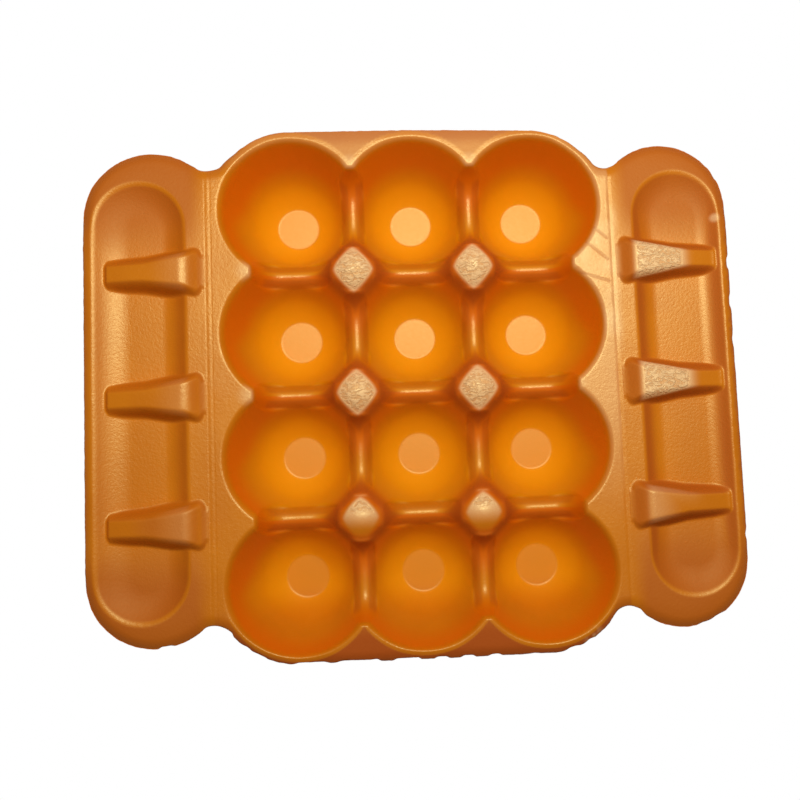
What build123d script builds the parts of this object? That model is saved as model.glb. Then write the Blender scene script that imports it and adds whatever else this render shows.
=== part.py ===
from build123d import *
import math
import os

# The pressed sheet and its grid of cups
sheet = 2.4
columns = 3
rows = 4
column_pitch = 46.0
row_pitch = 47.0

# One egg cup, round but cut with flats: a floor, a hollowed foot, a straight wall and a rolled lip
cup_steps = 24
cup_depth = 34.0
floor_radius = 8.5
floor_slope = 37.0
wall_slope = 67.5
foot_radius = 26.3
foot_steps = 2
lip_radius = 2.0
lip_steps = 2

# The webs between neighbouring cups, each dipped to a saddle that is level in the middle
web_half = 2.7
web_draft = 15.0
saddle_depth = 14.0
saddle_half = 15.4
saddle_reach = 17.0
saddle_power = 4
saddle_steps = 10
crest_radius = 4.0
crest_overhang = 0.54
crest_steps = 4
skin_overhang = 2.7
skin_run = 2.8

# The outline of the blank; a flap and its neck stop short of the tray's ends
rim_border = 2.2
fold_border = 0.75
flap_width = 46.3
flap_setback = 7.85
flap_end_radius = 25.0
neck_setback = 15.7
notch_radius = 6.0

# The score that lets a flap fold up, closed at the fold limit
score_width = 3.0
fold_limit = 122.0

# The trough pressed in a flap, with walls that curve into its floor
trough_start = 8.7
trough_edge_border = 3.6
trough_end_border = 10.7
trough_depth = 4.4
trough_inner_run = 9.0
trough_outer_run = 8.0
trough_end_run = 9.0
trough_wall_power = 2
trough_wall_steps = 3
trough_end_steps = 12

# The ribs across a trough, high at the fold and low at the edge, measured outwards from the fold
rib_start = 2.6
rib_nose_run = 4.0
rib_rise = 4.8
rib_middle = 24.0
rib_edge_border = 4.8
rib_end_drop = 1.5
rib_nose_radius = 2.5
rib_start_width = 18.0
rib_middle_width = 9.8
rib_end_width = 6.8
rib_draft = 20.0

# Worked out from the above
rim_z = sheet + cup_depth
cup_xs = [(i - (columns - 1) / 2) * column_pitch for i in range(columns)]
cup_ys = [(j - (rows - 1) / 2) * row_pitch for j in range(rows)]
gap_ys = [(a + b) / 2 for a, b in zip(cup_ys, cup_ys[1:])]
crest_z = rim_z - saddle_depth
score_depth = score_width / 2 / math.tan(math.radians(fold_limit / 2))
overlap = 10.0


def tan(degrees):
    return math.tan(math.radians(degrees))


def heading(degrees):
    """The direction of a line that climbs outwards at this angle."""
    return Vector(1, 0).rotate(Axis.Z, degrees)


def arc_points(centre, radius, start, turn, count):
    """Points spaced evenly along an arc in plan, both ends included."""
    angles = [math.radians(start + turn * i / count) for i in range(count + 1)]
    return [(centre[0] + radius * math.cos(a), centre[1] + radius * math.sin(a)) for a in angles]


def stacked(rings):
    """A solid with flat faces through level rings of (points, height), listed upwards."""
    levels = [[Vector(x, y, z) for x, y in points] for points, z in rings]
    faces = [Face(Wire.make_polygon(levels[0])), Face(Wire.make_polygon(levels[-1]))]
    for low, high in zip(levels, levels[1:]):
        for i in range(len(low)):
            faces.append(Face(Wire.make_polygon([low[i - 1], low[i], high[i], high[i - 1]])))
    return Solid(Shell(faces))


def turned(section, flats):
    """A solid turned about Z with flats, from points of (radius, height) listed upwards."""
    corner = 1 / math.cos(math.pi / flats)
    return stacked([(arc_points((0, 0), p.X * corner, 0, 360, flats)[1:], p.Y) for p in section])


def cup_section(floor_edge, foot, top_z):
    """The points of a cup's section, from the edge of its floor up its wall to a height."""
    arc = JernArc(floor_edge, heading(floor_slope), foot, wall_slope - floor_slope)
    bottom = arc @ 1
    top = bottom + Vector((top_z - bottom.Y) / tan(wall_slope), top_z - bottom.Y)
    return [arc @ (i / foot_steps) for i in range(foot_steps + 1)] + [top]


def hollow_section():
    """The points of a cup's inside, with the lip rolled over to the flange."""
    lip_height = lip_radius * (1 - heading(wall_slope).X)
    section = cup_section((floor_radius, sheet), foot_radius, rim_z - lip_height)
    lip = JernArc(section[-1], heading(wall_slope), lip_radius, -wall_slope)
    return section + [lip @ (i / lip_steps) for i in range(1, lip_steps + 1)]


def corner_radius():
    """The radius of the tray's corners, round the corner cups."""
    return hollow_section()[-1].X + rim_border


def cup_hollow():
    """The inside of one cup, carried on past the rim."""
    section = hollow_section()
    beyond = section[-1] + (section[-1] - section[-2])
    return turned([*section, beyond], cup_steps)


def cup_body():
    """The outside of one cup, a sheet's thickness away from its inside."""
    floor_edge = (floor_radius + sheet * tan(floor_slope / 2), 0)
    return turned(cup_section(floor_edge, foot_radius + sheet, rim_z), cup_steps)


def cell(x, y):
    """The drafted box that a cup's inside keeps to, wide open on sides with no neighbour."""
    open_side = column_pitch + row_pitch
    rings = []
    for z in (0, rim_z + overlap):
        lean = web_half + (crest_z - z) * tan(web_draft)
        left = -open_side if x == cup_xs[0] else lean - column_pitch / 2
        right = open_side if x == cup_xs[-1] else column_pitch / 2 - lean
        front = -open_side if y == cup_ys[0] else lean - row_pitch / 2
        back = open_side if y == cup_ys[-1] else row_pitch / 2 - lean
        rings.append(([(left, front), (right, front), (right, back), (left, back)], z))
    return Pos(x, y) * stacked(rings)


def saddle_places():
    """The middle of every web, with Z turned to point across it."""
    between_columns = [Pos(x + column_pitch / 2, y, crest_z) for x in cup_xs[:-1] for y in cup_ys]
    between_rows = [Pos(x, y, crest_z) * Rot(Z=90) for x in cup_xs for y in gap_ys]
    return [at * Rot(Y=90) for at in between_columns + between_rows]


def saddle_section(half, depth, drop):
    """A saddle's dip seen along its axis, as points of (depth below the crest, distance along the web)."""
    points = []
    for i in range(saddle_steps + 1):
        along = saddle_reach / saddle_half * half * (2 * i / saddle_steps - 1)
        points.append((drop - depth * abs(along / half) ** saddle_power, along))
    return points


def saddle_dip():
    """The bowed dip in a web, which also rounds its crest."""
    rings = []
    for i in range(crest_steps + 1):
        across = (web_half + crest_overhang) * (2 * i / crest_steps - 1)
        fall = crest_radius - math.sqrt(crest_radius**2 - across**2)
        rings.append((saddle_section(saddle_half, saddle_depth, fall), across))
    return stacked(rings)


def saddle_skin():
    """The sheet that runs down one post, under the saddle and up the next."""
    half = web_half + skin_overhang
    outside = saddle_section(saddle_half + skin_run, saddle_depth + sheet, sheet)
    skin = stacked([(outside, -half), (outside, half)])
    reach = 4 * saddle_reach
    above_rim = Pos(-saddle_depth - reach / 2, 0, 0) * Box(reach, reach, reach)
    return skin - above_rim


def notch_web(corner, end):
    """The web in the notch between a tray corner and a flap end, hollowed by the notch's round."""
    to_corner = corner_radius() + notch_radius
    to_end = flap_end_radius + notch_radius
    between = end - corner
    along = (to_corner**2 - to_end**2 + between.length**2) / (2 * between.length)
    across = math.sqrt(to_corner**2 - along**2)
    unit = between.normalized()
    middle = corner + unit * along + unit.rotate(Axis.Z, 90) * across
    return make_face(Polyline(corner, middle, end, close=True)) - Pos(middle) * Circle(notch_radius)


def flap_plate():
    """The outline of the right flap, with its neck and the notch at its back end."""
    end = Vector(flap_edge_x - flap_end_radius, flap_half_length - flap_end_radius)
    flap = Pos(end.X, 0) * SlotCenterToCenter(2 * end.Y, 2 * flap_end_radius, rotation=90)
    neck = Rectangle(end.X, 2 * (flap_half_length - neck_setback), align=(Align.MIN, Align.CENTER))
    return flap + neck + notch_web(Vector(cup_xs[-1], cup_ys[-1]), end)


def blank():
    """The trimmed outline of the whole sheet, lying flat."""
    corner = corner_radius()
    body = RectangleRounded(2 * (cup_xs[-1] + corner), 2 * (cup_ys[-1] + corner), corner)
    right = flap_plate() + mirror(flap_plate(), Plane.XZ)
    return Pos(0, 0, rim_z - sheet) * (body + right + mirror(right, Plane.YZ))


def beyond_fold():
    """The space outside the right fold line."""
    size = 4 * flap_half_length
    return Pos(fold_x + size / 2, 0, 0) * Box(size, size, size)


def score():
    """The V pressed along the right fold line, from the pivot at its foot up to the top of the flange."""
    foot = Vector(fold_x, rim_z - score_depth)
    half = Vector(score_width / 2, score_depth)
    groove = make_face(Polyline(foot, foot + half, foot + Vector(-half.X, half.Y), close=True))
    return extrude(Plane.XZ * groove, flap_half_length, both=True)


def both_sides(right):
    """A shape on the right of the tray and its mirror image on the left."""
    return [right, mirror(right, Plane.YZ)]


def make_tray():
    """The cups in their flange, between the two fold lines."""
    flange = extrude(blank(), sheet) - both_sides(beyond_fold())
    body = cup_body()
    skin = saddle_skin()
    bodies = [Pos(x, y) * body for x in cup_xs for y in cup_ys]
    solid = flange + bodies + [at * skin for at in saddle_places()]
    hollow = cup_hollow()
    hollows = [(Pos(x, y) * hollow) & cell(x, y) for x in cup_xs for y in cup_ys]
    dip = saddle_dip()
    return solid - hollows - [at * dip for at in saddle_places()] - both_sides(score())


def trough(grow):
    """The hollow of a trough, or with growth its outside, down from the top of the flange."""
    rings = []
    for i in range(trough_wall_steps + 1):
        run = 1 - i / trough_wall_steps
        inner = fold_x + trough_start + run * trough_inner_run - grow
        outer = flap_edge_x - trough_edge_border - run * trough_outer_run + grow
        radius = (outer - inner) / 2
        centre_y = flap_half_length - trough_end_border - run * trough_end_run + grow - radius
        points = []
        for side, start in ((1, 0), (-1, 180)):
            points += arc_points((inner + radius, side * centre_y), radius, start, 180, trough_end_steps)
        drop = trough_depth * (1 - (1 - run) ** trough_wall_power) + (grow if run else 0)
        rings.append((points, rim_z - drop))
    return stacked(rings)


def rib(shrink):
    """A rib lying across a trough, or with shrinkage the hollow under it."""
    start = fold_x + rib_start + shrink
    end = flap_edge_x - rib_edge_border
    low = rim_z - trough_depth - 2 * sheet
    high = rim_z + rib_rise
    rings = []
    for z in (low, high):
        lean = (rim_z - z) * tan(rib_draft) - shrink
        widths = ((start, rib_start_width), (fold_x + rib_middle, rib_middle_width), (end, rib_end_width))
        far = [(x, width / 2 + lean) for x, width in widths]
        rings.append((far + [(x, -y) for x, y in reversed(far)], z))
    nose = Vector(start + rib_nose_run, high - shrink)
    tail = Vector(end, rim_z - rib_end_drop - shrink)
    side = Polyline((start, low), (start, rim_z - shrink), nose, tail, (end, low), close=True)
    outline = make_face(side)
    tip = outline.vertices().sort_by(Axis.Y)[-1]
    outline = fillet(tip, rib_nose_radius)
    return stacked(rings) & extrude(Plane.XZ * outline, rib_start_width, both=True)


def make_flap():
    """The right flap, lying flat, with its trough and hollow ribs."""
    plate = extrude(blank(), sheet) & beyond_fold()
    tall = extrude(blank(), sheet + rib_rise + overlap) & beyond_fold()
    outside = trough(sheet)
    ribs = [Pos(0, y) * rib(0) for y in gap_ys]
    hollows = [Pos(0, y) * rib(sheet) for y in gap_ys]
    kept_ribs = [one & (tall + outside) for one in ribs]
    return plate + outside - trough(0) + kept_ribs - hollows - score()


fold_x = cup_xs[-1] + corner_radius() + fold_border
flap_edge_x = fold_x + flap_width
flap_half_length = cup_ys[-1] + corner_radius() - flap_setback

os.makedirs("parts", exist_ok=True)
right_flap = make_flap()
export_step(make_tray(), "parts/egg_tray.step")
export_step(right_flap, "parts/right_flap.step")
export_step(mirror(right_flap, Plane.YZ), "parts/left_flap.step")
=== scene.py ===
import math
import bpy
import numpy as np
from mathutils import Matrix, Vector
from mathutils.geometry import delaunay_2d_cdt


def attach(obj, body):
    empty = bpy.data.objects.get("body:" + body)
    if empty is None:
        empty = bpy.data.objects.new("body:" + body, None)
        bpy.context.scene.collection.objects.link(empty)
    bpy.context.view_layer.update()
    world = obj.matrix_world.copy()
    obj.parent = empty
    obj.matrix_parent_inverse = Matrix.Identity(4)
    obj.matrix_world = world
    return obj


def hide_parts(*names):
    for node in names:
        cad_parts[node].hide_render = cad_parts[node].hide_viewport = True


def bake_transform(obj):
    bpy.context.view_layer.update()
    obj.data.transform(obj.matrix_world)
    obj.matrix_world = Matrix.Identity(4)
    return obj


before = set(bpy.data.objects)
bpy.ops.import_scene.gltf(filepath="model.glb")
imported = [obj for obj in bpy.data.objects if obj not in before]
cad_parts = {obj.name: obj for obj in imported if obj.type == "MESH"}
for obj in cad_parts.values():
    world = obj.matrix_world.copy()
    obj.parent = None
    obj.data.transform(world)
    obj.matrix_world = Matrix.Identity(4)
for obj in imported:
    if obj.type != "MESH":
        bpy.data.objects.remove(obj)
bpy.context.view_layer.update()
scene = bpy.context.scene

# The pressed sheet, in millimetres
SHEET = 2.4
RIM = 36.4
PITCH_X = 46.0
PITCH_Y = 47.0
COLUMNS = 3
ROWS = 4

# One cup: flat floor, hollowed foot, straight wall
FLOOR_RADIUS = 8.5
FOOT_RADIUS = 26.3
FOOT_SLOPE = math.radians(37.0)
WALL_SLOPE = math.radians(67.5)
LIP_REACH = 27.8586

# The webs between cups and the saddles in them
WEB_HALF = 2.7
WEB_DRAFT = math.radians(15.0)
SADDLE_DEPTH = 14.0
CREST = RIM - SADDLE_DEPTH
SADDLE_HALF = 15.4
SADDLE_POWER = 4
CREST_RADIUS = 2.8
CREST_HALF = 4.0
SKIN_RUN = 2.8
SKIN_HALF = 5.4
SKIN_SLOPE = 12

# Roundings of the pressed forms
WEB_FOOT_ROUND = 0.6
SADDLE_ROUND = 1.4
POST_REACH = 8
POST_CROWN = 3.2
LIP_ROUND = 3.2
FRONT_LIP_ROUND = 1.8
FLOOR_EDGE_ROUND = 0.3
UNDERSIDE_ROUND = 1.5
SKIN_ROUND = 1.0
TROUGH_LIP_ROUND = 1.0
RIB_NOSE_ROUND = 3.4
RIB_SIDE_ROUND = 4.4
RIB_FOOT_ROUND = 2.6

# How far the flats lie below those of the solids, to leave room for waves in the skin
INSET = 0.1

# The outline of the blank
CORNER_RADIUS = LIP_REACH + 2.2
FLAP_EDGE = 123.1086
FLAP_HALF = 92.7086
FLAP_END_RADIUS = 25.0
NOTCH_RADIUS = 6.0

# How the trimmed edge rolls down and the sheet hangs
EDGE_ROLL = 1.7
BACK_EDGE_ROLL = 0.7
EDGE_ROLL_WIDTH = 4.4
FLAP_DROOP = 1.7
FRONT_DROOP = 1.6

# The scored folds, with one line on the right and two on the left
FOLD = 76.8086
SCORE_HALF = 1.5
RIGHT_LINE_DEPTH = 0.3
RIGHT_LINE_WIDTH = 0.5
LEFT_LINE_DEPTH = 0.13
LEFT_LINE_WIDTH = 0.4
LEFT_LINE_OFF = 1.0

# Hand-made creases beside the right fold
CREASES = [((62, 59), (75.3, 47.5)), ((66, 64), (75.3, 56)), ((61, 43.5), (75.5, 39))]
CREASE_WIDTH = 0.28
CREASE_DEPTH = 0.25

# The trough in a flap, across and along, and how far its walls run in
TROUGH_IN = FOLD + 8.7
TROUGH_OUT = FOLD + 42.7
TROUGH_HALF = 82.0
TROUGH_DEPTH = 4.4
INNER_WALL_RUN = 9.0
END_WALL_RUN = 12.0
LEFT_WALL_RUN = 13.0
RIGHT_WALL_RUN = 8.5

# The ribs across a trough
RIB_START = FOLD + 2.6
RIB_NOSE = 4.0
RIB_NOSE_RUN = 5.0
RIB_RISE = 4.8
RIB_END = FOLD + 41.5
LEFT_RIB_END = RIB_END - 3
RIB_END_DROP = 1.5
RIB_WAIST = FOLD + 24
RIB_WIDTHS = [18.0, 9.8, 6.8]
RIB_CORNER = 3
RIB_SKIN = SHEET * 1.5
RIB_DRAFT = math.radians(20.0)
RIB_YS = [-PITCH_Y, 0.0, PITCH_Y]

# Spacing of mesh points
FINE = 0.52
PLAIN = 2 * FINE
COARSE = 2 * PLAIN
EDGE_STEP = 0.6

MM = 0.001
FAR = 1e3


# Small helpers for shaping the sheet

def smooth_min(a, b, k):
    """The lower of two heights, with the corner between them rounded."""
    share = np.clip(0.5 + 0.5 * (b - a) / k, 0, 1)
    return b + (a - b) * share - k * share * (1 - share)


def smooth_max(a, b, k):
    """The higher of two heights, with the corner between them rounded."""
    return -smooth_min(-a, -b, k)


def ramp(low, high, value):
    """Smooth step from 0 at low to 1 at high."""
    t = np.clip((value - low) / (high - low), 0, 1)
    return t * t * (3 - 2 * t)


def ripple(x, y, scale, seed):
    """Smooth random height between -1 and 1 over the sheet."""
    gx, gy = x / scale, y / scale
    ix, iy = np.floor(gx), np.floor(gy)
    tx, ty = gx - ix, gy - iy
    tx, ty = tx * tx * (3 - 2 * tx), ty * ty * (3 - 2 * ty)

    def corner(i, j):
        mixed = np.sin((ix + i) * 127.1 + (iy + j) * 311.7 + seed * 74.7) * 43758.5453
        return 2 * (mixed - np.floor(mixed)) - 1

    low = corner(0, 0) * (1 - tx) + corner(1, 0) * tx
    high = corner(0, 1) * (1 - tx) + corner(1, 1) * tx
    return low * (1 - ty) + high * ty


def line_distance(x, y, start, end):
    """How far each point is from a straight mark."""
    ax, ay = start
    bx, by = end[0] - ax, end[1] - ay
    share = np.clip(((x - ax) * bx + (y - ay) * by) / (bx * bx + by * by), 0, 1)
    return np.hypot(x - ax - share * bx, y - ay - share * by)


# The shape of the tray

def cup_profile(r, floor_edge, floor_z, foot):
    """Height of a cup's surface at a radius from its middle."""
    middle_r = floor_edge - foot * math.sin(FOOT_SLOPE)
    middle_z = floor_z + foot * math.cos(FOOT_SLOPE)
    bend_r = middle_r + foot * math.sin(WALL_SLOPE)
    bend_z = middle_z - foot * math.cos(WALL_SLOPE)
    curve = middle_z - np.sqrt(np.maximum(foot**2 - (np.minimum(r, bend_r) - middle_r) ** 2, 0))
    wall = bend_z + (r - bend_r) * math.tan(WALL_SLOPE)
    climb = np.where(r < bend_r, curve, wall)
    return smooth_max(climb, floor_z, FLOOR_EDGE_ROUND)


def in_cell(x, y):
    """Where a point lies in its nearest cup, and how far it is from the webs around that cup."""
    column = np.clip(np.round(x / PITCH_X), -(COLUMNS // 2), COLUMNS // 2)
    row = np.clip(np.floor(y / PITCH_Y), -(ROWS // 2), ROWS // 2 - 1)
    u = x - column * PITCH_X
    v = y - (row + 0.5) * PITCH_Y
    outer_x = (column * u > 0) & (np.abs(column) == COLUMNS // 2)
    outer_y = ((row + 0.5) * v > 0) & (np.abs(row + 0.5) > ROWS / 2 - 1)
    web_x = np.where(outer_x, FAR, np.abs(PITCH_X / 2 - np.abs(u)))
    web_y = np.where(outer_y, FAR, np.abs(PITCH_Y / 2 - np.abs(v)))
    return u, v, web_x, web_y


def flank(web):
    """Height of a web's side, from the distance across it."""
    return CREST - (web - WEB_HALF) / math.tan(WEB_DRAFT)


def saddle(web, along):
    """Height of the dip in a web, from the distance across it and along it."""
    dip = CREST + SADDLE_DEPTH * (along / SADDLE_HALF) ** SADDLE_POWER
    fall = np.minimum(web, CREST_HALF) ** 2 / (2 * CREST_RADIUS)
    return np.where(web < PITCH_X / 4, dip - fall, FAR)


def tray_top(x, y, edge):
    """The upper surface of the tray between the folds."""
    u, v, web_x, web_y = in_cell(x, y)
    hollow = cup_profile(np.hypot(u, v), FLOOR_RADIUS, SHEET, FOOT_RADIUS)
    for web in (web_x, web_y):
        hollow = smooth_max(hollow, flank(web), WEB_FOOT_ROUND)
    for web, along in ((web_x, v), (web_y, u)):
        hollow = smooth_min(hollow, saddle(web, along), SADDLE_ROUND)
    from_post = np.hypot(web_x, web_y)
    on_post = ramp(POST_REACH + 4, POST_REACH, from_post)
    crown = on_post * POST_CROWN * np.minimum(from_post / POST_REACH, 1) ** 2
    lip_round = LIP_ROUND + (FRONT_LIP_ROUND - LIP_ROUND) * ramp(-80, -92, y)
    return smooth_min(brim(x, y, edge) - crown, hollow, lip_round) - CREASE_DEPTH * creases(x, y)


def droop(x, y):
    """How far the ends of the flaps and the front edge of the tray hang below the flat."""
    on_flap = ramp(FOLD, FOLD + 8, np.abs(x))
    on_tray = ramp(FOLD + 8, FOLD, np.abs(x))
    flap_ends = FLAP_DROOP * on_flap * np.maximum((np.abs(y) - 58) / 35, 0) ** 2
    front = FRONT_DROOP * on_tray * np.maximum((-y - 84) / 16, 0) ** 1.5
    return flap_ends + front


def brim(x, y, edge):
    """The flat of the sheet, a little wavy, rolled down along its trimmed edge."""
    at_back = ramp(92, 98, y) * ramp(FOLD, FOLD - 8, np.abs(x))
    drop = EDGE_ROLL + (BACK_EDGE_ROLL - EDGE_ROLL) * at_back
    rolled = drop * np.maximum(1 - edge / EDGE_ROLL_WIDTH, 0) ** 2
    beads = 0.09 * ripple(x, y, 1.7, 11) * ramp(TROUGH_OUT - 1, TROUGH_OUT + 1, x)
    waves = 0.05 * ripple(x, y, 9, 3)
    return RIM - INSET + waves + beads - rolled - droop(x, y)


def creases(x, y):
    """1 in the middle of a hand-made crease, 0 away from it."""
    off = [line_distance(x, y, start, end) / CREASE_WIDTH for start, end in CREASES]
    return np.max([np.exp(-(share**2)) for share in off], axis=0)


def tray_under(x, y, edge):
    """The underside: the flange, the outsides of the cups and the skins under the saddles."""
    u, v, web_x, web_y = in_cell(x, y)
    outside = FLOOR_RADIUS + SHEET * math.tan(FOOT_SLOPE / 2)
    under = cup_profile(np.hypot(u, v), outside, 0.0, FOOT_RADIUS + SHEET)
    under = smooth_min(under, plain_under(x, y, edge), UNDERSIDE_ROUND)
    for web, along in ((web_x, v), (web_y, u)):
        dip = (along / (SADDLE_HALF + SKIN_RUN)) ** SADDLE_POWER
        skin = CREST - SHEET + (SADDLE_DEPTH + SHEET) * dip
        skin = skin + SKIN_SLOPE * np.maximum(web - SKIN_HALF, 0)
        under = np.minimum(under, smooth_min(skin, plain_under(x, y, edge), SKIN_ROUND))
    return np.maximum(under, 0)


# The shape of a flap and its fold

def trough_depth(x, y):
    """How far the trough is pressed below the flap; the left one has a broader outer wall."""
    outer_run = np.where(x < 0, LEFT_WALL_RUN, RIGHT_WALL_RUN)
    x = np.abs(x)
    radius = (TROUGH_OUT - TROUGH_IN) / 2
    past = np.maximum(np.abs(y) - (TROUGH_HALF - radius), 0)
    middle = TROUGH_IN + radius
    reach = np.hypot(x - middle, past)
    inside = radius - reach
    turn = np.abs(np.arctan2(x - middle, past + 1e-6)) * 2 / math.pi
    side_run = np.where(x < middle, INNER_WALL_RUN, outer_run)
    run = END_WALL_RUN + (side_run - END_WALL_RUN) * np.where(past > 0, turn, 1)
    share = np.clip(inside / run, -1, 1)
    return TROUGH_DEPTH * np.where(share > 0, 1 - (1 - share) ** 2, share * 2)


def rib_height(x, y):
    """The height of a rib's skin over the nearest rib line; the left ribs are a little shorter."""
    rib_end = np.where(x < 0, LEFT_RIB_END, RIB_END)
    x = np.abs(x)
    q = np.min([np.abs(y - at) for at in RIB_YS], axis=0)
    width = np.interp(x, [RIB_START, RIB_WAIST, RIB_END], RIB_WIDTHS)
    corner = RIB_CORNER - np.clip(x - RIB_START, 0, RIB_CORNER)
    width = width - 2 * (RIB_CORNER - np.sqrt(RIB_CORNER**2 - corner**2))
    side = RIM - (q - width / 2) / math.tan(RIB_DRAFT)
    share = np.clip((x - RIB_START - RIB_NOSE) / (RIB_END - RIB_START - RIB_NOSE), 0, 1.2)
    roof = RIM + RIB_RISE - INSET - (RIB_RISE + RIB_END_DROP) * (0.45 * share + 0.55 * share**2)
    nose = RIM + (x - RIB_START) * RIB_RISE / RIB_NOSE_RUN
    rib = smooth_min(smooth_min(roof, nose, RIB_NOSE_ROUND), side, RIB_SIDE_ROUND)
    return rib - 2.0 * np.maximum(x - rib_end + 1, 0)


def flap_top(x, y, edge):
    """The upper surface of a flap: border, trough and ribs."""
    end = ramp(80, 90, np.abs(x)) * ramp(60, 72, np.abs(y))
    border = brim(x, y, edge) - end * np.maximum(1 - edge / 9.0, 0) ** 2
    pressed = smooth_min(border, RIM - droop(x, y) - trough_depth(x, y), TROUGH_LIP_ROUND)
    return smooth_max(pressed, rib_height(x, y), RIB_FOOT_ROUND)


def fold_top(x, y, edge):
    """The upper surface across a fold: one score line on the right, two on the left."""
    off = np.abs(np.abs(x) - FOLD)
    uneven = 0.7 + 0.3 * ripple(x, y, 4, 5)
    single = RIGHT_LINE_DEPTH * uneven * np.exp(-((off / RIGHT_LINE_WIDTH) ** 2))
    double = LEFT_LINE_DEPTH * uneven * np.exp(-(((off - LEFT_LINE_OFF) / LEFT_LINE_WIDTH) ** 2))
    return brim(x, y, edge) - np.where(x > 0, single, double)


def plain_under(x, y, edge):
    """The underside where the sheet is flat."""
    return RIM - SHEET - droop(x, y)


def flap_under(x, y, edge):
    """The underside of a flap, hollow under the ribs."""
    pressed = plain_under(x, y, edge) - np.maximum(trough_depth(x, y), 0)
    return smooth_max(pressed, rib_height(x, y) - RIB_SKIN, UNDERSIDE_ROUND)


# The outline

def arc(centre, radius, start, end, count):
    """Points along a part of a circle, between two angles in degrees."""
    angles = np.radians(np.linspace(start, end, count))
    return [(centre[0] + radius * math.cos(a), centre[1] + radius * math.sin(a)) for a in angles]


def quarter_outline():
    """The edge of the blank from the middle of the back to the middle of the right side."""
    corner = Vector((PITCH_X, 1.5 * PITCH_Y))
    end = Vector((FLAP_EDGE - FLAP_END_RADIUS, FLAP_HALF - FLAP_END_RADIUS))
    to_corner = CORNER_RADIUS + NOTCH_RADIUS
    to_end = FLAP_END_RADIUS + NOTCH_RADIUS
    between = end - corner
    along = (to_corner**2 - to_end**2 + between.length_squared) / (2 * between.length)
    off = math.sqrt(to_corner**2 - along**2)
    unit = between.normalized()
    notch = corner + unit * along + Vector((-unit.y, unit.x)) * off
    from_corner = math.degrees(math.atan2(notch.y - corner.y, notch.x - corner.x))
    from_end = math.degrees(math.atan2(notch.y - end.y, notch.x - end.x))
    points = [(0.0, corner.y + CORNER_RADIUS)]
    points += arc(corner, CORNER_RADIUS, 90, from_corner, 40)
    points += arc(notch, NOTCH_RADIUS, from_corner + 180, from_end + 180, 14)[1:]
    points += arc(end, FLAP_END_RADIUS, from_end, 0, 40)[1:]
    return points + [(FLAP_EDGE, 0.0)]


def whole_outline():
    """The edge of the blank all round, the same to both sides and to front and back."""
    quarter = quarter_outline()
    right = quarter + [(x, -y) for x, y in reversed(quarter[:-1])]
    return right + [(-x, y) for x, y in reversed(right[1:-1])]


def as_it_lies(points):
    """The outline as the sheet lies: the flaps slid a little and two ends of the tray drawn in."""
    moved = []
    for x, y in points:
        on_flap = ramp(66, 80, abs(x))
        slide = on_flap * (1.35 if x < 0 else max(0.0145 * y, 0.0065 * y) - 0.7)
        back = 1.2 * ramp(5, 60, x) * ramp(70, 100, y)
        front = ramp(30, -40, x) * ramp(-70, -100, y)
        notch = 1.5 * math.exp(-(((x + 74) / 6) ** 2)) * (1 if y > 0 else -1)
        moved.append((x, y + slide + notch + (front - back) * (1 - on_flap)))
    return moved


def clipped(points, low, high):
    """The part of an outline between two upright lines."""
    for side, at in ((1, low), (-1, -high)):
        kept = []
        for (ax, ay), (bx, by) in zip(points, points[1:] + points[:1]):
            if side * ax >= at:
                kept.append((ax, ay))
            if (side * ax - at) * (side * bx - at) < 0:
                share = (side * at - ax) / (bx - ax)
                kept.append((side * at, ay + share * (by - ay)))
        points = kept
    return points


def respaced(points, step):
    """The same outline with points at even steps."""
    dense = []
    for a, b in zip(points, points[1:] + points[:1]):
        length = math.dist(a, b)
        count = max(1, round(length / step))
        run_x, run_y = b[0] - a[0], b[1] - a[1]
        dense += [(a[0] + run_x * i / count, a[1] + run_y * i / count) for i in range(count)]
    return dense


def worn(points):
    """The outline as it was cut by hand: nicked inwards here and there."""
    cut = []
    for before, at, after in zip(points[-1:] + points[:-1], points, points[1:] + points[:1]):
        along = (Vector(after) - Vector(before)).normalized()
        x, y = np.array(at[0]), np.array(at[1])
        rough = 0.18 + 0.12 * ripple(x, y, 2.3, 7) + 0.06 * ripple(x, y, 0.9, 8)
        torn = 0.8 * ramp(0.0, 0.7, ripple(x, y, 5, 9)) * (ramp(118, 121, x) + ramp(-82, -90, y))
        inward = Vector((along.y, -along.x)) * float(rough + torn)
        cut.append((at[0] + inward.x, at[1] + inward.y))
    return cut


def edge_distance(x, y, outline):
    """How far inside the outline each point is, negative outside it."""
    best = np.full(x.shape, FAR)
    inside = np.zeros(x.shape, bool)
    for (ax, ay), (bx, by) in zip(outline, outline[1:] + outline[:1]):
        best = np.minimum(best, line_distance(x, y, (ax, ay), (bx, by)))
        if ay != by:
            crosses = (ay > y) != (by > y)
            inside ^= crosses & (x < (bx - ax) * (y - ay) / (by - ay) + ax)
    return np.where(inside, best, -best)


# Meshes

def spread(low, high, step):
    """Points in even, staggered rows over a rectangle."""
    row_step = step * 0.866
    xs, ys = np.meshgrid(np.arange(low[0], high[0], step), np.arange(low[1], high[1], row_step))
    xs = xs + step / 2 * (np.arange(len(xs)) % 2)[:, None]
    return np.column_stack([xs.ravel(), ys.ravel()])


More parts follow.
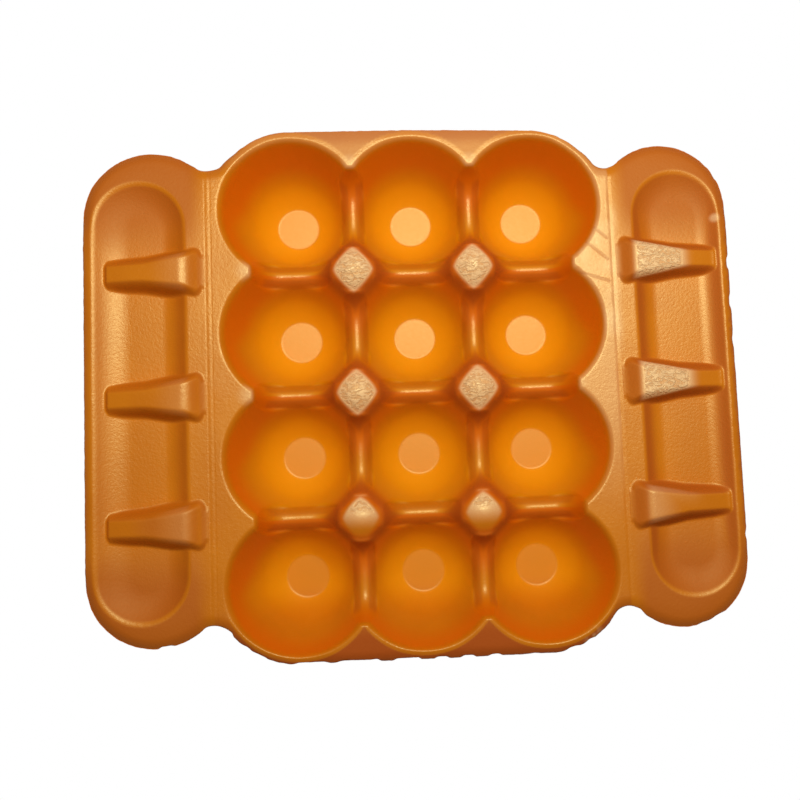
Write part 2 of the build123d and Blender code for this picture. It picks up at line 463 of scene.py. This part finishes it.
def filled(outline, step, bends=None):
    """Points and triangles that fill an outline, finer where the sheet bends."""
    low = np.min(outline, axis=0)
    high = np.max(outline, axis=0)
    points = spread(low, high, step)
    if bends:
        close = spread(low, high, FINE)
        points = np.vstack([points[~bends(*points.T)], close[bends(*close.T)]])
    depth = edge_distance(points[:, 0], points[:, 1], outline)
    points = points[depth > FINE * 0.5]
    count = len(outline)
    loop = [(i, (i + 1) % count) for i in range(count)]
    coords = [Vector(p) for p in outline] + [Vector(p) for p in points.tolist()]
    found, _, faces, origin, _, _ = delaunay_2d_cdt(coords, loop, [], 1, 1e-6)
    place = {old: new for new, olds in enumerate(origin) for old in olds}
    return np.array([(p.x, p.y) for p in found]), faces, [place[i] for i in range(count)]


def tray_bends(x, y):
    """Where the tray's sheet turns sharply: webs, posts, lips, creases and the edges of the cup floors."""
    u, v, web_x, web_y = in_cell(x, y)
    r = np.hypot(u, v)
    creased = (x > 60) & (y > 36) & (y < 74)
    floor_edge = np.abs(r - FLOOR_RADIUS) < 1.4
    lip = np.abs(r - LIP_REACH + 0.6) < 1.8
    on_web = np.minimum(web_x, web_y) < 5.5
    return on_web | lip | floor_edge | creased


def everywhere(x, y):
    """For a piece that is finely meshed all over."""
    return np.full(x.shape, True)


def pressed_sheet(low_x, high_x, top, under, bends, under_step):
    """The corners and faces of the pressed sheet between two upright lines."""
    outline = respaced(clipped(blank_edge, low_x, high_x), FINE)
    points, faces, loop = filled(outline, PLAIN, bends)
    low_points, low_faces, low_loop = filled(outline, under_step)
    heights = []
    for flat, surface in ((points, top), (low_points, under)):
        depth = np.maximum(edge_distance(flat[:, 0], flat[:, 1], blank), 0)
        heights.append(surface(flat[:, 0], flat[:, 1], depth))
    upper = np.column_stack([points, heights[0]])
    lower = np.column_stack([low_points, heights[1]])
    base = len(upper)
    walls = []
    for i in range(len(loop)):
        j = (i + 1) % len(loop)
        walls.append([loop[i], loop[j], base + low_loop[j], base + low_loop[i]])
    corners = np.vstack([upper, lower])
    under_faces = [[base + i for i in reversed(f)] for f in low_faces]
    return corners, [list(f) for f in faces] + under_faces + walls


# Where the skin shows crazing or knocks or is matte, and where light, shade and highlights are painted into
# its colour: shares from 0 to 1 by place, height and lean

def near(x, y, place, inner, outer):
    """1 within the inner distance of a place, 0 beyond the outer one."""
    return ramp(outer, inner, np.hypot(x - place[0], y - place[1]))


def crazing_and_highlights(x, y, z, lean):
    """How pale the skin is, from crazing and from painted highlights: crazing on the posts, the right ribs
    and the creased flange by the right fold, with a dent and a scuff; painted highlights on the posts, the
    rib roofs, the flange on the right and back, and the cusps of the flange.
    """
    _, _, web_x, web_y = in_cell(x, y)
    on_tray = np.abs(x) < FOLD
    # Crazing on the posts with painted light and shade: paler on the back row, and faded off the front side
    # of the front row.
    post_row = np.clip(np.round(y / PITCH_Y), -1, 1)
    front_shade = np.where(post_row < 0, ramp(-5, 4.5, y - post_row * PITCH_Y), 1)
    post = (0.87 + 0.08 * post_row * (post_row > 0)) * front_shade * on_tray
    from_middle = ((1.15 * web_x) ** 1.3 + web_y**1.3) ** (1 / 1.3) * np.where(post_row < 0, 1.12, 1)
    post = post * ramp(9.4, 7.2, from_middle)
    out = np.abs(x) - FOLD
    on_rib = ramp(0.5, 2.2, z - RIM) * ramp(6.5, 10, out)
    crazed_rib = on_rib * ramp(33, 24, out) * ramp(-50, -20, y) * (x > 0)
    # Painted highlight on the rib roofs near their noses, stronger on the right.
    rib_highlight = np.where(x > 0, 0.27, 0.1) * on_rib * ramp(22, 9, out)
    creased = ramp(60, 66, x) * ramp(FOLD + 4, FOLD, x) * ramp(2, 25, y) * ramp(74, 62, y) * ramp(35, 36, z)
    creased = creased * (0.42 + 0.16 * ripple(x, y, 5, 12))
    dent = 0.6 * near(x, y, (118.5, 63), 0.6, 2.4)
    scuff = 0.4 * near(x, y, (64, -97), 2, 7) * ramp(0, 0.6, ripple(x, y, 1.6, 13))
    # Painted sheen: pale specks over the flange on the right and along the back.
    right_flange = 0.28 * ramp(50, 62, x) * ramp(-58, -4, y)
    back_flange = 0.12 * ramp(84, 92, y)
    sheen_specks = np.maximum(right_flange, back_flange) * ramp(34.5, 36, z) * on_tray
    # Painted highlights on the flange cusps between the cups.
    tip_highlights = [near(np.abs(x), y, place, 0.5, 6) for place in ((62.5, 47), (62.5, 0), (23, 87.8))]
    tip_highlights = 0.38 * np.max(tip_highlights, axis=0) * ramp(34.8, 36, z)
    upper = lean < 1
    return upper * np.max([post, crazed_rib, rib_highlight, creased, dent, scuff, sheen_specks, tip_highlights], axis=0)


def painted_light_on_walls(x, y, z, lean):
    """Painted light: a lit golden tone, 1 on the lower walls of the cups, reaching higher on their front
    walls, which face the lamp, and fainter in the front row; 0 on the flats.
    """
    _, v, _, _ = in_cell(x, y)
    front = ramp(6, -6, v)
    last_row = 0.8 * ramp(-73, -86, y)
    return ramp(24 + 8 * front, 8, z) * (1 - last_row) * (np.abs(x) < FOLD)


def painted_shade_on_walls(x, y, z, lean):
    """Painted shade: a redder tone on the upper walls of the cups, the outer walls too, reaching lower on the
    backs of the cups, which face away from the lamp.
    """
    _, v, _, _ = in_cell(x, y)
    back = ramp(-6, 6, v)
    return ramp(19 - 9 * back, 33 - 9 * back, z) * ramp(35.2, 33, z) * (np.abs(x) < FOLD)


def painted_shade_and_matte(x, y, z, lean):
    """Painted shade, with a matte skin: dark and rough on the sides of the webs, the flap ends, the walls of
    the flaps, the rib noses and feet, the roofs of the front left ribs, the front and back edges of the
    flange, a ring round the cup floors, the flanks of the posts and along the creases.
    """
    u, v, web_x, web_y = in_cell(x, y)
    on_tray = np.abs(x) < FOLD
    web = np.minimum(web_x, web_y)
    sides = 0.45 * ramp(4.9, 4.0, web) * ramp(0.9, 2.0, web) * ramp(28, 24, z) * ramp(8, 14, z) * on_tray
    flap = ramp(FOLD, FOLD + 8, np.abs(x))
    trough_rim = ramp(0.9, 0.3, np.abs(trough_depth(x, y) - 0.2))
    ends = 0.65 * flap * ramp(46, 72, np.abs(y)) * (1 - 0.9 * trough_rim)
    walls = np.where(x > 0, 0.7, 0.35) * flap * ramp(0.03, 0.2, lean)
    on_nose = ramp(RIB_START - 0.5, RIB_START + 1, x) * ramp(RIB_START + 6.5, RIB_START + 4.5, x)
    noses = 0.55 * on_nose * ramp(0.3, 1.0, z - RIM)
    roofs = 0.4 * ramp(1.0, 3.0, z - RIM) * ramp(15, -47, y) * (x < -FOLD)
    trough = RIM - droop(x, y) - np.maximum(trough_depth(x, y), 0)
    over_trough = np.abs(rib_height(x, y) - trough + 0.5)
    along_rib = ramp(RIB_START - 1.5, RIB_START, np.abs(x)) * ramp(RIB_END - 3, RIB_END - 8, np.abs(x))
    rib_feet = 0.4 * ramp(2.6, 1.2, over_trough) * along_rib
    r = np.hypot(u, v)
    lip = ramp(28.2, 27.7, r)
    back_lip = ramp(29.6, 28.9, r)
    front = ramp(-76, -92, y) * ramp(30, 34, z) * (1 - lip) * on_tray
    back = 0.35 * (ramp(78, 88, y) + ramp(93, 98, y)) * ramp(30, 34, z) * (1 - back_lip) * on_tray
    floors = 0.32 * ramp(8.8, 8.3, r) * on_tray
    posts = 0.7 * ramp(17, 12, web_x + web_y) * ramp(34.5, 32, z) * ramp(19, 24, z) * on_tray
    bent = 0.6 * creases(x, y) * ramp(34.5, 35.5, z) * on_tray
    return np.max([sides, ends, walls, noses, roofs, rib_feet, front, back, floors, posts, bent], axis=0)


# Pieces

def add_piece(name, corners, polygons):
    """A foam piece that carries its own unfolded places, and its shares of crazing, painted light, painted
    shade, painted highlights and matte skin, for the paint.
    """
    mesh = bpy.data.meshes.new(name)
    mesh.from_pydata((corners * MM).tolist(), [], polygons)
    mesh.validate()
    rest = mesh.attributes.new("rest", "FLOAT_VECTOR", "POINT")
    rest.data.foreach_set("vector", corners.astype(np.float32).ravel())
    lean = 1 - np.array([normal.vector.z for normal in mesh.vertex_normals])
    for measure in (crazing_and_highlights, painted_light_on_walls, painted_shade_on_walls, painted_shade_and_matte):
        layer = mesh.attributes.new(measure.__name__, "FLOAT", "POINT")
        layer.data.foreach_set("value", measure(*corners.T, lean).astype(np.float32))
    mesh.shade_smooth()
    mesh.set_sharp_from_angle(angle=math.radians(60))
    piece = bpy.data.objects.new(name, mesh)
    scene.collection.objects.link(piece)
    mesh.materials.append(foam)
    return piece


# The foam's surface

# Foam colours: two flat tones, a redder painted shade for the upper walls, a golden painted light for the
# lower walls, a brown painted shade for the dark places, the pale of crazing and painted highlights, and the
# tint of the sheen.
FLAT_DARK = (0.66, 0.178, 0.001, 1)
FLAT_LIGHT = (0.70, 0.2, 0.002, 1)
SHADED_WALL_RED = (0.79, 0.152, 0.0, 1)
LIT_WALL_YELLOW = (0.855, 0.33, 0.0, 1)
SHADE_BROWN = (0.46, 0.07, 0.0, 1)
CRAZE_AND_HIGHLIGHT_PALE = (1.0, 0.65, 0.35, 1)
SHEEN_TINT = (1, 0.95, 0.45, 1)


class Wire:
    """A shader value that can be used like a number."""

    def __init__(self, paint, socket):
        self.paint = paint
        self.socket = socket

    def maths(self, operation, *values):
        return self.paint.add("Math", {"operation": operation}, *values)

    def __add__(self, other):
        return self.maths("ADD", self, other)

    def __radd__(self, other):
        return self.maths("ADD", other, self)

    def __sub__(self, other):
        return self.maths("SUBTRACT", self, other)

    def __rsub__(self, other):
        return self.maths("SUBTRACT", other, self)

    def __mul__(self, other):
        return self.maths("MULTIPLY", self, other)

    def __rmul__(self, other):
        return self.maths("MULTIPLY", other, self)

    def step(self, low, high):
        """Smooth step from 0 at low to 1 at high."""
        settings = {"interpolation_type": "SMOOTHSTEP"}
        return self.paint.add("MapRange", settings, Value=self, From_Min=low, From_Max=high)


class Paint:
    """One material and the shader nodes in it."""

    def __init__(self, name):
        self.material = bpy.data.materials.new(name)
        self.material.use_nodes = True
        self.tree = self.material.node_tree
        self.shader = self.tree.nodes["Principled BSDF"]

    def add(self, kind, settings, *values, out=0, **named):
        """Adds any shader node, with its settings and what goes into its sockets."""
        node = self.tree.nodes.new("ShaderNode" + kind)
        for key, value in settings.items():
            setattr(node, key, value)
        sockets = list(zip(node.inputs, values))
        sockets += [(node.inputs[key.replace("_", " ")], value) for key, value in named.items()]
        for socket, value in sockets:
            self.put(socket, value)
        return Wire(self, node.outputs[out])

    def put(self, socket, value):
        """Links a shader value to a socket, or sets a plain one on it."""
        if isinstance(value, Wire):
            self.tree.links.new(value.socket, socket)
        else:
            socket.default_value = value

    def colour_mix(self, share, low, high):
        """The first colour where the share is 0, the second where it is 1."""
        node = self.tree.nodes.new("ShaderNodeMix")
        node.data_type = "RGBA"
        for socket, value in ((node.inputs[0], share), (node.inputs[6], low), (node.inputs[7], high)):
            self.put(socket, value)
        return Wire(self, node.outputs[2])


def foam_paint():
    """Orange foam with a satin skin, pebbled all over, showing crazing on posts and ribs, with painted light,
    painted shade and painted highlights in its colour.
    """
    paint = Paint("foam")
    place = paint.add("Attribute", {"attribute_name": "rest"}, out="Vector")
    crazing_lit, lit_wall, shaded_wall, shade_matte = [paint.add("Attribute", {"attribute_name": name}, out="Fac")
                                 for name in ("crazing_and_highlights", "painted_light_on_walls", "painted_shade_on_walls", "painted_shade_and_matte")]
    cloud = paint.add("TexNoise", {}, Vector=place, Scale=0.05, Detail=3.0)
    pebble = paint.add("TexNoise", {}, Vector=place, Scale=0.9, Detail=2.0)
    grain = paint.add("TexNoise", {}, Vector=place, Scale=2.4, Detail=1.0)
    stretch = paint.add("TexNoise", {}, Vector=place, Scale=0.35, Detail=3.0, out="Color")
    bent = paint.add("VectorMath", {"operation": "MULTIPLY_ADD"}, stretch, (4.0, 4.0, 4.0), place)
    streaks = paint.add("VectorMath", {"operation": "MULTIPLY"}, bent, (0.5, 1.4, 0.5))
    flakes = paint.add("TexNoise", {}, Vector=streaks, Scale=0.9, Detail=4.0)
    cracks = crazing_lit.step(0.6, 0.9) * flakes.step(0.6, 0.36)
    smooth = 1.0 - 0.7 * lit_wall
    height = smooth * (0.075 * pebble + 0.045 * grain) - 0.2 * cracks
    bump = paint.add("Bump", {}, Strength=1.0, Distance=MM, Height=height, out="Normal")
    # Colour: random flat tones, then painted shade on the upper walls, painted light on the lower walls,
    # painted shade on the dark places, and the pale of crazing and painted highlights.
    flat = paint.colour_mix(cloud.step(0.35, 0.65), FLAT_DARK, FLAT_LIGHT)
    wall = paint.colour_mix(shaded_wall, flat, SHADED_WALL_RED)
    orange = paint.colour_mix(lit_wall, wall, LIT_WALL_YELLOW)
    dark = paint.colour_mix(shade_matte, orange, SHADE_BROWN)
    pale = crazing_lit * (1.0 - 0.45 * cracks) * (0.7 + 0.6 * grain)
    skin = paint.colour_mix(pale, dark, CRAZE_AND_HIGHLIGHT_PALE)
    inputs = paint.shader.inputs
    paint.put(inputs["Base Color"], skin)
    rough = 0.32 + 0.1 * pebble + 0.42 * shade_matte * (1.0 - lit_wall) + 0.04 * lit_wall
    paint.put(inputs["Roughness"], rough)
    paint.put(inputs["Normal"], bump)
    inputs["IOR"].default_value = 1.5
    inputs["Specular IOR Level"].default_value = 0.95
    inputs["Specular Tint"].default_value = SHEEN_TINT
    return paint.material


foam = foam_paint()

# The pieces of the tray

blank = as_it_lies(whole_outline())
blank_edge = worn(respaced(blank, EDGE_STEP))
score_in = FOLD - SCORE_HALF
score_out = FOLD + SCORE_HALF

sheet = pressed_sheet(-score_in, score_in, tray_top, tray_under, tray_bends, COARSE)
tray = add_piece("tray_sheet", *sheet)
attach(tray, "tray")
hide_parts("egg_tray")

for side, way in (("right", 1), ("left", -1)):
    inner, outer = sorted((way * score_in, way * score_out))
    sheet = pressed_sheet(inner, outer, fold_top, plain_under, everywhere, FINE)
    fold = add_piece(side + "_fold", *sheet)
    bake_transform(fold)
    inner, outer = sorted((way * score_out, way * (FLAP_EDGE + 1)))
    sheet = pressed_sheet(inner, outer, flap_top, flap_under, everywhere, PLAIN)
    flap = add_piece(side + "_flap_sheet", *sheet)
    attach(flap, side + "_flap")
    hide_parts(side + "_flap")

# Camera, as fitted to the photograph: lengths in its picture points, place in millimetres over the cup floors

PICTURE = 800
FOCAL = 979.874
AXIS_X, AXIS_Y = 474.045, 374.328
CAMERA_PLACE = Vector((-6.1153, -29.4648, 401.8315 + SHEET))

camera_data = bpy.data.cameras.new("camera")
camera_data.sensor_width = 36.0
camera_data.lens = FOCAL * camera_data.sensor_width / PICTURE
camera_data.shift_x = (PICTURE / 2 - AXIS_X) / PICTURE
camera_data.shift_y = (AXIS_Y - PICTURE / 2) / PICTURE
camera = bpy.data.objects.new("camera", camera_data)
right_way = Vector((0.99658522, -0.04331613, 0.07029663))
down_way = Vector((-0.03652493, -0.99479055, -0.09517195))
ahead = Vector((0.0740529, 0.09227938, -0.99297567))
turn = Matrix((right_way, -down_way, -ahead)).transposed()
camera.matrix_world = Matrix.Translation(CAMERA_PLACE * MM) @ turn.to_4x4()
scene.collection.objects.link(camera)
scene.camera = camera
scene.view_settings.view_transform = "Standard"


# Light and floor

def softbox(name, place, aim, size, power):
    """A warm white lamp with a flat, oblong front."""
    data = bpy.data.lights.new(name, "AREA")
    data.shape = "RECTANGLE"
    data.size, data.size_y = size
    data.energy = power
    data.color = (1, 0.97, 0.9)
    light = bpy.data.objects.new(name, data)
    light.location = place
    light.rotation_euler = (Vector(aim) - Vector(place)).to_track_quat("-Z", "Y").to_euler()
    scene.collection.objects.link(light)


def pale_room():
    """A weak warm light from all round, which the camera sees as plain white."""
    room = bpy.data.worlds.new("room")
    room.use_nodes = True
    nodes, links = room.node_tree.nodes, room.node_tree.links
    warm = nodes["Background"]
    warm.inputs["Color"].default_value = (1, 0.85, 0.5, 1)
    warm.inputs["Strength"].default_value = 0.2
    seen = nodes.new("ShaderNodeLightPath")
    white = nodes.new("ShaderNodeBackground")
    white.inputs["Color"].default_value = (1, 1, 1, 1)
    shown = nodes.new("ShaderNodeMixShader")
    links.new(seen.outputs["Is Camera Ray"], shown.inputs[0])
    links.new(warm.outputs[0], shown.inputs[1])
    links.new(white.outputs[0], shown.inputs[2])
    links.new(shown.outputs[0], nodes["World Output"].inputs["Surface"])
    return room


def white_paper():
    """Pale floor that shows as plain white."""
    paint = Paint("paper")
    seen = paint.add("LightPath", {}, out="Is Camera Ray")
    glow = paint.add("Emission", {}, Strength=1.0)
    shown = paint.add("MixShader", {}, seen, Wire(paint, paint.shader.outputs[0]), glow)
    paint.put(paint.tree.nodes["Material Output"].inputs["Surface"], shown)
    return paint.material


softbox("key_light", place=(0.045, 0.16, 0.536), aim=(0.045, 0.16, 0), size=(0.34, 0.10), power=2.3)
scene.world = pale_room()

reach = 3
floor_corners = [(-reach, -reach, 0), (reach, -reach, 0), (reach, reach, 0), (-reach, reach, 0)]
floor_mesh = bpy.data.meshes.new("floor")
floor_mesh.from_pydata(floor_corners, [], [(0, 1, 2, 3)])
floor_mesh.materials.append(white_paper())
floor = bpy.data.objects.new("floor", floor_mesh)
floor.location.z = -0.5 * MM
scene.collection.objects.link(floor)
